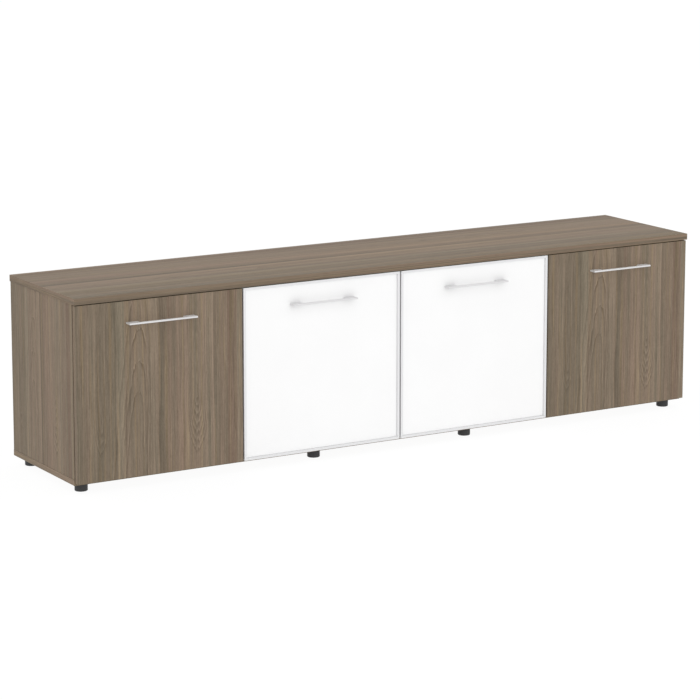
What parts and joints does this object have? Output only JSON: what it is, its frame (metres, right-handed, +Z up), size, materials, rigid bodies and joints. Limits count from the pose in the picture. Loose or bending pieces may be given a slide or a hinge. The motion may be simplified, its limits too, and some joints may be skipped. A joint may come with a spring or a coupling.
{
  "type": "office credenza",
  "caption": "Long low office credenza on round levelling feet, with bottom-hung flaps on friction stays: wood laminate at the ends, framed white panels in the middle, bridge handles.",
  "frame": {"origin": "middle of the footprint, handles included, on the floor under the feet", "axes": "+X along the cabinet to the right seen from the front, +Y to the rear, +Z up"},
  "size_m": [2, 0.431, 0.529],
  "materials": {
    "wood_laminate": "satin grey-brown elm laminate",
    "back_board": "matte laminate",
    "white_glass": "white back-painted glass, opaque",
    "aluminium_frame": "satin anodised",
    "handle_metal": "satin",
    "hinge_steel": "satin",
    "grey_plastic": "matte",
    "black_plastic": "matte"
  },
  "bodies": {
    "carcass": {"top_panel": "wood_laminate", "bottom_panel": "wood_laminate", "side_panel_left": "wood_laminate", "side_panel_right": "wood_laminate", "partition_1": "wood_laminate", "partition_2": "wood_laminate", "partition_3": "wood_laminate", "back_panel": "back_board", "flap_1_hinge_left_fixed_leaf": "hinge_steel", "flap_1_hinge_right_fixed_leaf": "hinge_steel", "flap_2_hinge_left_fixed_leaf": "hinge_steel", "flap_2_hinge_right_fixed_leaf": "hinge_steel", "flap_3_hinge_left_fixed_leaf": "hinge_steel", "flap_3_hinge_right_fixed_leaf": "hinge_steel", "flap_4_hinge_left_fixed_leaf": "hinge_steel", "flap_4_hinge_right_fixed_leaf": "hinge_steel"},
    "flap_1": {"flap_1_panel": "wood_laminate", "flap_1_handle": "handle_metal", "flap_1_hinge_left_flap_leaf": "hinge_steel", "flap_1_hinge_right_flap_leaf": "hinge_steel", "flap_1_stay_bracket": "hinge_steel"},
    "flap_1_stay_rod": {"flap_1_stay_rod": "hinge_steel"},
    "flap_1_stay_brake": {"flap_1_stay_brake": "grey_plastic"},
    "flap_2": {"flap_2_frame_top": "aluminium_frame", "flap_2_frame_bottom": "aluminium_frame", "flap_2_frame_left": "aluminium_frame", "flap_2_frame_right": "aluminium_frame", "flap_2_glass": "white_glass", "flap_2_handle": "handle_metal", "flap_2_hinge_left_flap_leaf": "hinge_steel", "flap_2_hinge_right_flap_leaf": "hinge_steel", "flap_2_stay_bracket": "hinge_steel"},
    "flap_2_stay_rod": {"flap_2_stay_rod": "hinge_steel"},
    "flap_2_stay_brake": {"flap_2_stay_brake": "grey_plastic"},
    "flap_3": {"flap_3_frame_top": "aluminium_frame", "flap_3_frame_bottom": "aluminium_frame", "flap_3_frame_left": "aluminium_frame", "flap_3_frame_right": "aluminium_frame", "flap_3_glass": "white_glass", "flap_3_handle": "handle_metal", "flap_3_hinge_left_flap_leaf": "hinge_steel", "flap_3_hinge_right_flap_leaf": "hinge_steel", "flap_3_stay_bracket": "hinge_steel"},
    "flap_3_stay_rod": {"flap_3_stay_rod": "hinge_steel"},
    "flap_3_stay_brake": {"flap_3_stay_brake": "grey_plastic"},
    "flap_4": {"flap_4_panel": "wood_laminate", "flap_4_handle": "handle_metal", "flap_4_hinge_left_flap_leaf": "hinge_steel", "flap_4_hinge_right_flap_leaf": "hinge_steel", "flap_4_stay_bracket": "hinge_steel"},
    "flap_4_stay_rod": {"flap_4_stay_rod": "hinge_steel"},
    "flap_4_stay_brake": {"flap_4_stay_brake": "grey_plastic"},
    "foot_front_1": {"foot_front_1": "black_plastic"},
    "foot_front_2": {"foot_front_2": "black_plastic"},
    "foot_front_3": {"foot_front_3": "black_plastic"},
    "foot_front_4": {"foot_front_4": "black_plastic"},
    "foot_rear_1": {"foot_rear_1": "black_plastic"},
    "foot_rear_2": {"foot_rear_2": "black_plastic"},
    "foot_rear_3": {"foot_rear_3": "black_plastic"},
    "foot_rear_4": {"foot_rear_4": "black_plastic"}
  },
  "joints": [
    {"name": "flap_1_hinge", "type": "hinge", "parent": "carcass", "child": "flap_1", "pos_m": [-0.74925, -0.17525, 0.0306], "axis": [1, 0, 0], "range_deg": [0, 85]},
    {"name": "flap_1_stay_rod_pivot", "type": "hinge", "parent": "flap_1", "child": "flap_1_stay_rod", "pos_m": [-0.9725, -0.1645, 0.18021], "axis": [1, 0, 0], "range_deg": [-42.5, 0]},
    {"name": "flap_1_stay_brake_swivel", "type": "hinge", "parent": "carcass", "child": "flap_1_stay_brake", "pos_m": [-0.9725, -0.08921, 0.15347], "axis": [1, 0, 0], "range_deg": [0, 42.5]},
    {"name": "flap_2_hinge", "type": "hinge", "parent": "carcass", "child": "flap_2", "pos_m": [-0.25, -0.17525, 0.0306], "axis": [1, 0, 0], "range_deg": [0, 85]},
    {"name": "flap_2_stay_rod_pivot", "type": "hinge", "parent": "flap_2", "child": "flap_2_stay_rod", "pos_m": [-0.483, -0.1645, 0.18021], "axis": [1, 0, 0], "range_deg": [-42.5, 0]},
    {"name": "flap_2_stay_brake_swivel", "type": "hinge", "parent": "carcass", "child": "flap_2_stay_brake", "pos_m": [-0.483, -0.08921, 0.15347], "axis": [1, 0, 0], "range_deg": [0, 42.5]},
    {"name": "flap_3_hinge", "type": "hinge", "parent": "carcass", "child": "flap_3", "pos_m": [0.25, -0.17525, 0.0306], "axis": [1, 0, 0], "range_deg": [0, 85]},
    {"name": "flap_3_stay_rod_pivot", "type": "hinge", "parent": "flap_3", "child": "flap_3_stay_rod", "pos_m": [0.483, -0.1645, 0.18021], "axis": [1, 0, 0], "range_deg": [-42.5, 0]},
    {"name": "flap_3_stay_brake_swivel", "type": "hinge", "parent": "carcass", "child": "flap_3_stay_brake", "pos_m": [0.483, -0.08921, 0.15347], "axis": [1, 0, 0], "range_deg": [0, 42.5]},
    {"name": "flap_4_hinge", "type": "hinge", "parent": "carcass", "child": "flap_4", "pos_m": [0.74925, -0.17525, 0.0306], "axis": [1, 0, 0], "range_deg": [0, 85]},
    {"name": "flap_4_stay_rod_pivot", "type": "hinge", "parent": "flap_4", "child": "flap_4_stay_rod", "pos_m": [0.9725, -0.1645, 0.18021], "axis": [1, 0, 0], "range_deg": [-42.5, 0]},
    {"name": "flap_4_stay_brake_swivel", "type": "hinge", "parent": "carcass", "child": "flap_4_stay_brake", "pos_m": [0.9725, -0.08921, 0.15347], "axis": [1, 0, 0], "range_deg": [0, 42.5]},
    {"name": "foot_front_1_thread", "type": "hinge", "parent": "carcass", "child": "foot_front_1", "pos_m": [-0.962, -0.138, 0], "axis": [0, 0, 1], "range_deg": [-360, 360]},
    {"name": "foot_front_2_thread", "type": "hinge", "parent": "carcass", "child": "foot_front_2", "pos_m": [-0.25, -0.138, 0], "axis": [0, 0, 1], "range_deg": [-360, 360]},
    {"name": "foot_front_3_thread", "type": "hinge", "parent": "carcass", "child": "foot_front_3", "pos_m": [0.25, -0.138, 0], "axis": [0, 0, 1], "range_deg": [-360, 360]},
    {"name": "foot_front_4_thread", "type": "hinge", "parent": "carcass", "child": "foot_front_4", "pos_m": [0.962, -0.138, 0], "axis": [0, 0, 1], "range_deg": [-360, 360]},
    {"name": "foot_rear_1_thread", "type": "hinge", "parent": "carcass", "child": "foot_rear_1", "pos_m": [-0.962, 0.1795, 0], "axis": [0, 0, 1], "range_deg": [-360, 360]},
    {"name": "foot_rear_2_thread", "type": "hinge", "parent": "carcass", "child": "foot_rear_2", "pos_m": [-0.25, 0.1795, 0], "axis": [0, 0, 1], "range_deg": [-360, 360]},
    {"name": "foot_rear_3_thread", "type": "hinge", "parent": "carcass", "child": "foot_rear_3", "pos_m": [0.25, 0.1795, 0], "axis": [0, 0, 1], "range_deg": [-360, 360]},
    {"name": "foot_rear_4_thread", "type": "hinge", "parent": "carcass", "child": "foot_rear_4", "pos_m": [0.962, 0.1795, 0], "axis": [0, 0, 1], "range_deg": [-360, 360]}
  ],
  "couplings": [
    {"joint": "flap_1_stay_rod_pivot", "follows": "flap_1_hinge", "ratio": -0.5},
    {"joint": "flap_1_stay_brake_swivel", "follows": "flap_1_hinge", "ratio": 0.5},
    {"joint": "flap_2_stay_rod_pivot", "follows": "flap_2_hinge", "ratio": -0.5},
    {"joint": "flap_2_stay_brake_swivel", "follows": "flap_2_hinge", "ratio": 0.5},
    {"joint": "flap_3_stay_rod_pivot", "follows": "flap_3_hinge", "ratio": -0.5},
    {"joint": "flap_3_stay_brake_swivel", "follows": "flap_3_hinge", "ratio": 0.5},
    {"joint": "flap_4_stay_rod_pivot", "follows": "flap_4_hinge", "ratio": -0.5},
    {"joint": "flap_4_stay_brake_swivel", "follows": "flap_4_hinge", "ratio": 0.5}
  ]
}
